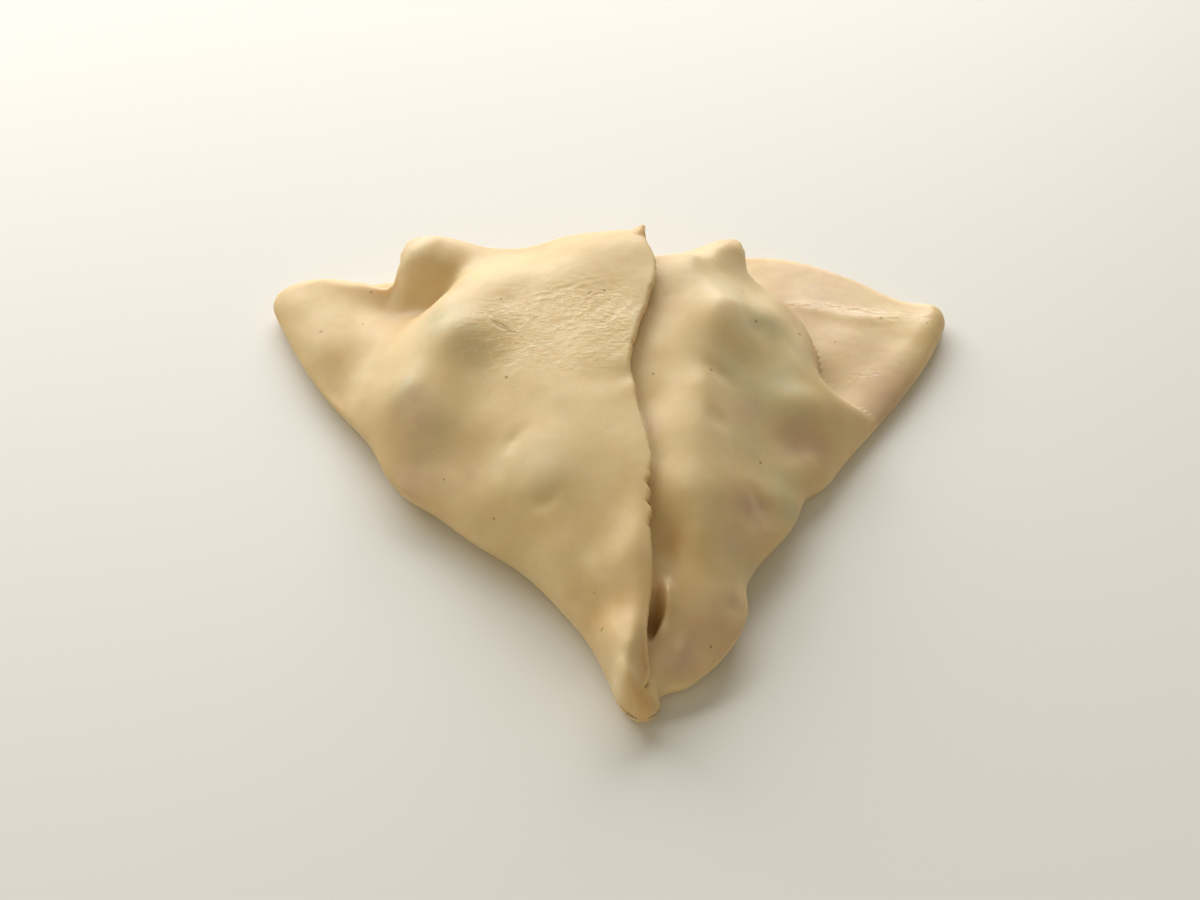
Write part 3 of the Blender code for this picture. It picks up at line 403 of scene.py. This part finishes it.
# The upper surface and the underside as grids of places, row by row from the point to the back. Between the
# flaps the section of the free edge is two half ellipses: the dough's rounded edge and the gap under it.
def samosaSheets():
    at = np.interp(np.linspace(0, 1, samosa["rows"]), samosa["rowShares"], samosa["rowPlaces"])
    cut = seamShare(at)
    sx, sy = across(at, cut)
    reachLeft, reachRight = (np.hypot(*(np.array(across(at, end)) - (sx, sy))) for end in (0.0, 1.0))
    roomLeft = np.minimum(samosa["edgeRoom"], 0.12 * reachLeft)
    roomRight = np.minimum(samosa["edgeRoom"], 0.12 * reachRight)
    leftEnd = cut * (1 - roomLeft / reachLeft)
    rightEnd = cut + (1 - cut) * roomRight / reachRight
    leftF = leftEnd[:, None] * spread(samosa["leftColumns"])
    rightF = rightEnd[:, None] + (1 - rightEnd[:, None]) * spread(samosa["rightColumns"])

    lx, ly = across(at[:, None], leftF)
    rx, ry = across(at[:, None], rightF)
    lz = topHeights(lx.ravel(), ly.ravel(), leftSpots, leftLumps, leftFolds).reshape(lx.shape)
    rz = topHeights(rx.ravel(), ry.ravel(), rightSpots, rightLumps, rightFolds).reshape(rx.shape)
    overRight = topHeights(rx.ravel(), ry.ravel(), leftSpots, leftLumps, leftFolds).reshape(rx.shape)
    rz += eased(ry, samosa["rollFrom"], samosa["rollTo"]) * (overRight - rz)

    step = np.maximum(lz[:, -1] - rz[:, 0], 0.0)
    thick = np.minimum(samosa["dough"], 0.75 * step)
    formed = eased(step, *samosa["edgeForms"])[:, None]
    deep = np.minimum(samosa["crevice"], 0.3 * reachLeft)
    count = samosa["edgeColumns"]
    t = (np.arange(count) + 1.0) / (count + 1)
    nose = np.clip(t / 0.5, 0.0, 1.0)
    gap = np.clip((t - 0.5) / 0.5, 0.0, 1.0)
    edgeX = (sx - roomLeft)[:, None] + np.outer(roomLeft, np.sin(np.pi * nose) ** 0.7)
    edgeX += np.outer(roomLeft + roomRight, gap) - np.outer(deep, np.sin(np.pi * gap))
    edgeZ = lz[:, -1:] - np.outer(thick, 0.5 - 0.5 * np.cos(np.pi * nose))
    edgeZ -= np.outer(step - thick, 0.5 - 0.5 * np.cos(np.pi * gap))
    plainX = lx[:, -1:] + (rx[:, :1] - lx[:, -1:]) * t
    plainZ = lz[:, -1:] + (rz[:, :1] - lz[:, -1:]) * t
    ex, ez = plainX + formed * (edgeX - plainX), plainZ + formed * (edgeZ - plainZ)
    ey = np.broadcast_to(sy[:, None], ex.shape)

    upper = np.stack([np.hstack(row) for row in ((lx, ex, rx), (ly, ey, ry), (lz, ez, rz))], axis=-1)
    ux, uy = across(at[:, None], np.hstack([leftF, cut[:, None], rightF]))
    uz = underHeights(ux.ravel(), uy.ravel()).reshape(ux.shape)
    return upper, np.stack([ux, uy, uz], axis=-1)


# Relief of the upper surface, fading out at the outline and in the gap under the free edge
def relief(grid):
    x, y = grid[..., 0], grid[..., 1]
    away, _ = nearestOn(outline, x.ravel(), y.ravel())
    fade = eased(np.abs(away), 0.0, samosa["reliefFade"]).reshape(x.shape)
    first = samosa["leftColumns"]
    last = first + samosa["edgeColumns"]
    fade[:, first + samosa["edgeColumns"] // 2 : last] = 0.0
    onLeft = np.arange(x.shape[1]) < last
    z = samosa["handRelief"] * unevenness(x, y, 9.0, 9.0, 0, 11)
    z += samosa["skinRelief"] * unevenness(x, y, 2.6, 2.2, 20, 12)
    wrinkled = np.minimum(lumpsAt(wrinkledPlaces, x, y) * onLeft + lumpsAt(pressedPlaces, x, y), 1.0)
    waves = unevenness(x, y, 3.6, 1.3, -18, 13)
    z += samosa["wrinkleRelief"] * wrinkled * (0.6 - np.abs(waves))
    return z * fade, wrinkled


# Both grids share the outline, and the free edge closes to one place at either end. Each cell is two
# triangles, and those with a repeated corner are left out.
def samosaMesh(name):
    upper, under = samosaSheets()
    height, wrinkled = relief(upper)
    upper = raised(upper, height)
    rows, columns = upper.shape[:2]
    first = samosa["leftColumns"]
    last = first + samosa["edgeColumns"]
    top = np.arange(rows * columns).reshape(rows, columns)
    top[0, first:last] = top[0, first]
    top[-1, first:last] = top[-1, first]
    plain = np.r_[np.arange(first), first, np.arange(last, columns)]
    bottom = top.copy()
    bottom[:, plain] = top.size + np.arange(under[..., 0].size).reshape(under.shape[:2])
    bottom[:, first:last] = bottom[:, [first]]
    bottom[0], bottom[-1], bottom[:, 0], bottom[:, -1] = top[0], top[-1], top[:, 0], top[:, -1]

    def triangles(grid):
        a, b, c, d = grid[:-1, :-1], grid[:-1, 1:], grid[1:, 1:], grid[1:, :-1]
        both = np.concatenate([np.stack(half, -1).reshape(-1, 3) for half in ((a, b, c), (a, c, d))])
        whole = (both[:, 0] != both[:, 1]) & (both[:, 1] != both[:, 2]) & (both[:, 2] != both[:, 0])
        return both[whole]

    corners = np.concatenate([triangles(top), triangles(bottom)[:, ::-1]])
    used, corners = np.unique(corners, return_inverse=True)
    places = np.concatenate([upper.reshape(-1, 3), under.reshape(-1, 3)])[used]
    x, y = places[:, 0], places[:, 1]
    above = used < top.size
    # Tint layers: green and rosy also painted shade, then painted glow and shade, then painted highlight
    tints = [np.clip(lumpsAt([(a, b, r, r, 0, s) for a, b, r, s in spots], x, y), 0, 1) * above
             for spots in (greenAndShadePlaces, rosyAndShadePlaces, glowAndShadePlaces, highlightPlaces)]  # red, green, blue and alpha
    moist = np.clip(lumpsAt(moistPlaces, x, y), 0, 1) * above
    rough = np.zeros(len(used))
    rough[above] = wrinkled.ravel()[used[above]]

    mesh = bpy.data.meshes.new(name)
    mesh.vertices.add(len(places))
    mesh.vertices.foreach_set("co", ((places - [*samosa["middle"], 0.0]) * 0.001).ravel())
    mesh.loops.add(corners.size)
    mesh.loops.foreach_set("vertex_index", corners.ravel().astype(np.int32))
    mesh.polygons.add(corners.size // 3)
    mesh.polygons.foreach_set("loop_start", np.arange(0, corners.size, 3, dtype=np.int32))
    mesh.update(calc_edges=True)
    mesh.shade_smooth()
    tintLayer = mesh.attributes.new("showThroughAndPaintedLight", "FLOAT_COLOR", "POINT")
    tintLayer.data.foreach_set("color", np.column_stack(tints).ravel())
    for part, values in (("wrinkled", rough), ("moist", moist)):
        mesh.attributes.new(part, "FLOAT", "POINT").data.foreach_set("value", values)
    print("samosa:", len(mesh.polygons), "triangles")
    return mesh


# Adds one node and fills its inputs, which are values or other nodes' outputs
def node(tree, kind, inputs=(), **settings):
    made = tree.nodes.new("ShaderNode" + kind)
    for key, value in settings.items():
        setattr(made, key, value)
    for key, value in dict(inputs).items():
        if isinstance(value, bpy.types.NodeSocket):
            tree.links.new(value, made.inputs[key])
        else:
            made.inputs[key].default_value = value
    return made


# A mix of two colours by a factor
def mixed(tree, factor, first, second):
    return node(tree, "Mix", {0: factor, 6: first, 7: second}, data_type="RGBA").outputs[2]


# One step of arithmetic
def number(tree, operation, *values, clamp=False):
    made = node(tree, "Math", dict(enumerate(values)), operation=operation, use_clamp=clamp)
    return made.outputs[0]


# Zero to one, or between the two outer values, as the value goes from low to high
def remap(tree, value, low, high, outLow=0.0, outHigh=1.0):
    ends = {0: value, 1: low, 2: high, 3: outLow, 4: outHigh}
    return node(tree, "MapRange", ends, interpolation_type="SMOOTHSTEP").outputs[0]


# Raw wheat dough: pale and yellowish, with what it covers showing through, and painted shade, glow and
# highlights laid on
rawDough = {
    "pale": (0.80, 0.62, 0.355, 1.0),
    "deep": (0.71, 0.52, 0.265, 1.0),
    # green and rosy are also painted shade, warm is painted glow and shade, light is painted highlight and
    # glint
    "green": (0.585, 0.525, 0.315, 1.0),
    "rosy": (0.60, 0.41, 0.29, 1.0),
    "warm": (0.66, 0.42, 0.175, 1.0),
    "light": (0.90, 0.74, 0.48, 1.0),
    "speck": (0.25, 0.13, 0.05, 1.0),
    "showThroughAndPaintedLight": (0.72, 0.66, 0.60, 0.75),  # how strong green, rosy, warm and light become
    "cloudScale": 0.085,  # these scales count per millimetre
    "mottleScale": 0.9,
    "borderScale": 0.35,
    "glintFleckScale": 1.7,
    "speckScale": 0.15,
    "speckSize": 0.034,  # of the largest speck, as a share of the distance between two
    "creaseScale": 1.5,
    "creaseTurn": 18.0,  # degrees
    "creaseStretch": (0.35, 1.0, 0.6),
    "blisterScale": 1.1,
    "grainScale": 2.2,
    "bump": 0.0002,  # metres
    "roughness": 0.46,
    "wrinkledGloss": 0.14,  # how much smoother the wrinkled skin is
    "moistGloss": 0.16,
    "scatter": 0.4,  # subsurface weight
    "scatterReach": 0.0022,  # metres
}


# Two tones of dough in noise, then the tints of the vertices, partly painted shade, glow and highlight, pale
# dots as painted glints, specks and tears laid over them
def doughMaterial():
    material = bpy.data.materials.new("rawDough")
    material.use_nodes = True
    tree = material.node_tree
    tree.nodes.clear()
    spot = node(tree, "TexCoord").outputs["Object"]
    place = node(tree, "Mapping", {"Vector": spot, "Scale": (1000.0, 1000.0, 1000.0)}).outputs[0]

    def noise(scale, detail=3.0, rough=0.55, vector=place):
        inputs = {"Vector": vector, "Scale": scale, "Detail": detail, "Roughness": rough}
        return node(tree, "TexNoise", inputs).outputs["Fac"]

    def times(first, second, clamp=False):
        return number(tree, "MULTIPLY", first, second, clamp=clamp)

    def minus(first, second):
        return number(tree, "SUBTRACT", first, second)

    # Uneven mixing of the dough: broad clouds and a fine mottle
    broad = remap(tree, noise(rawDough["cloudScale"]), 0.36, 0.66)
    fine = noise(rawDough["mottleScale"], 4.0, 0.6)
    colour = mixed(tree, broad, rawDough["pale"], rawDough["deep"])
    colour = mixed(tree, remap(tree, fine, 0.42, 0.70, 0.0, 0.22), colour, rawDough["deep"])

    # What the dough lets through, and the painted shade, glow and highlights, with soft uneven borders
    tintLayer = node(tree, "Attribute", attribute_name="showThroughAndPaintedLight").outputs
    parts = [*node(tree, "SeparateColor", {0: tintLayer["Color"]}).outputs, tintLayer["Alpha"]]
    blur = remap(tree, noise(rawDough["borderScale"], 2.0), 0.3, 0.7, 0.65, 1.25)
    for part, name, strength in zip(parts, ("green", "rosy", "warm", "light"), rawDough["showThroughAndPaintedLight"]):
        colour = mixed(tree, times(times(part, strength), blur, clamp=True), colour, rawDough[name])

    # Painted glints: pale dots where the skin is stretched
    wrinkled = node(tree, "Attribute", attribute_name="wrinkled").outputs["Fac"]
    glintFleck = times(remap(tree, noise(rawDough["glintFleckScale"], 3.0, 0.6), 0.56, 0.66), wrinkled)
    colour = mixed(tree, times(glintFleck, 0.6), colour, rawDough["light"])

    # Sparse bran specks
    inputs = {"Vector": place, "Scale": rawDough["speckScale"]}
    cells = node(tree, "TexVoronoi", inputs, voronoi_dimensions="2D").outputs
    drawn = node(tree, "SeparateColor", {0: cells["Color"]}).outputs[0]
    size = remap(tree, drawn, 0.5, 1.0, 0.0, rawDough["speckSize"])
    speck = number(tree, "LESS_THAN", cells["Distance"], size)
    colour = mixed(tree, times(speck, 0.55), colour, rawDough["speck"])

    # Tears: one ellipse each, its length and width in the mapping's scale, and all heights within it
    torn = 0.0
    for x, y, long, wide, turn in skinTears:
        within = node(tree, "Mapping", {
            "Vector": place,
            "Location": (x - samosa["middle"][0], y - samosa["middle"][1], 0.0),
            "Rotation": (0.0, 0.0, math.radians(turn)),
            "Scale": (long, wide, 100.0),
        }, vector_type="TEXTURE").outputs[0]
        reach = node(tree, "VectorMath", {0: within}, operation="LENGTH").outputs["Value"]
        torn = number(tree, "ADD", torn, remap(tree, reach, 0.5, 1.1, 1.0, 0.0), clamp=True)
    colour = mixed(tree, times(torn, 0.28), colour, rawDough["speck"])

    # Skin: fine grain, and on the stretched places narrow creases and small blisters that glisten
    along = node(tree, "Mapping", {
        "Vector": place,
        "Rotation": (0.0, 0.0, math.radians(rawDough["creaseTurn"])),
        "Scale": rawDough["creaseStretch"],
    }).outputs[0]
    crease = number(tree, "ABSOLUTE", minus(noise(rawDough["creaseScale"], 4.0, 0.6, along), 0.5))
    inputs = {"Vector": place, "Scale": rawDough["blisterScale"]}
    blister = node(tree, "TexVoronoi", inputs, feature="SMOOTH_F1").outputs["Distance"]
    rough = number(tree, "ADD", times(crease, 1.2), times(blister, 0.4))
    grain = times(noise(rawDough["grainScale"], 4.0, 0.6), 0.14)
    height = minus(number(tree, "ADD", grain, times(rough, wrinkled)), times(torn, 0.5))
    normal = node(tree, "Bump", {"Strength": 0.6, "Distance": rawDough["bump"], "Height": height}).outputs[0]
    gloss = number(tree, "ADD", rawDough["roughness"], remap(tree, noise(0.5), 0.3, 0.7, -0.05, 0.07))
    moist = node(tree, "Attribute", attribute_name="moist").outputs["Fac"]
    gloss = minus(gloss, times(wrinkled, rawDough["wrinkledGloss"]))
    gloss = minus(gloss, times(moist, rawDough["moistGloss"]))

    shader = node(tree, "BsdfPrincipled", {
        "Base Color": colour,
        "Roughness": gloss,
        "Normal": normal,
        "Subsurface Weight": rawDough["scatter"],
        "Subsurface Radius": (1.0, 0.55, 0.25),
        "Subsurface Scale": rawDough["scatterReach"],
        "Specular IOR Level": 0.42,
    })
    out = node(tree, "OutputMaterial")
    tree.links.new(shader.outputs[0], out.inputs[0])
    return material


piece = bpy.data.objects.new("foldedDough", samosaMesh("foldedDough"))
bpy.context.scene.collection.objects.link(piece)
piece.data.materials.append(doughMaterial())
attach(piece, "root")
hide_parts("samosa")
print("made: folded dough")

studio = {
    "floor": (0.80, 0.79, 0.765, 1.0),
    "floorRoughness": 0.5,
    "floorReach": 3.0,  # metres from the middle to each side
    "floorHeight": -0.00004,  # just under the samosa
    "key": {
        "place": (-0.22, 0.80, 0.45), "wide": 1.4, "high": 0.7, "power": 15.5, "colour": (1.0, 0.99, 0.97),
    },
    "skyTurn": (-0.3, -0.954, 0.0),  # towards the front and a little left, where the warm fill comes from
    "skyFill": (0.54, 0.485, 0.345, 1.0),
    "skyRest": (0.10, 0.10, 0.10, 1.0),
}
view = {"target": (-0.0012, -0.0015, 0.0055), "elevation": 50.0, "distance": 0.220, "lens": 50.0}


# A flat square of plain colour
def makeFloor():
    mesh = bpy.data.meshes.new("floor")
    half, low = studio["floorReach"], studio["floorHeight"]
    corners = [(-half, -half, low), (half, -half, low), (half, half, low), (-half, half, low)]
    mesh.from_pydata(corners, [], [(0, 1, 2, 3)])
    floor = bpy.data.objects.new("floor", mesh)
    bpy.context.scene.collection.objects.link(floor)
    material = bpy.data.materials.new("paleFloor")
    material.use_nodes = True
    shader = material.node_tree.nodes["Principled BSDF"]
    shader.inputs["Base Color"].default_value = studio["floor"]
    shader.inputs["Roughness"].default_value = studio["floorRoughness"]
    mesh.materials.append(material)


# A rectangular lamp that faces the samosa
def makeLight(name, place, wide, high, power, colour):
    lamp = bpy.data.lights.new(name, "AREA")
    lamp.shape, lamp.size, lamp.size_y = "RECTANGLE", wide, high
    lamp.energy, lamp.color = power, colour
    light = bpy.data.objects.new(name, lamp)
    light.location = place
    light.rotation_euler = (-Vector(place)).to_track_quat("-Z", "Y").to_euler()
    bpy.context.scene.collection.objects.link(light)


# Dim light from everywhere that grows towards one side, by the smoothed part of the direction along skyTurn
def makeSky():
    world = bpy.data.worlds.new("sky")
    world.use_nodes = True
    tree = world.node_tree
    direction = node(tree, "TexCoord").outputs["Generated"]
    turned = node(tree, "VectorMath", {0: direction, 1: studio["skyTurn"]}, operation="DOT_PRODUCT")
    share = remap(tree, turned.outputs["Value"], -0.8, 0.8)
    colour = mixed(tree, share, studio["skyRest"], studio["skyFill"])
    tree.links.new(colour, tree.nodes["Background"].inputs["Color"])
    bpy.context.scene.world = world


# Looks at the target from the front, at the elevation above the floor
def makeCamera():
    lens = bpy.data.cameras.new("camera")
    lens.lens, lens.clip_start = view["lens"], 0.01
    camera = bpy.data.objects.new("camera", lens)
    up = math.radians(view["elevation"])
    back = Vector((0.0, -math.cos(up), math.sin(up)))
    camera.location = Vector(view["target"]) + back * view["distance"]
    camera.rotation_euler = (-back).to_track_quat("-Z", "Y").to_euler()
    bpy.context.scene.collection.objects.link(camera)
    bpy.context.scene.camera = camera


makeFloor()
makeLight("key", **studio["key"])
makeSky()
makeCamera()
bpy.context.scene.view_settings.view_transform = "Standard"
print("made: floor, light and camera")
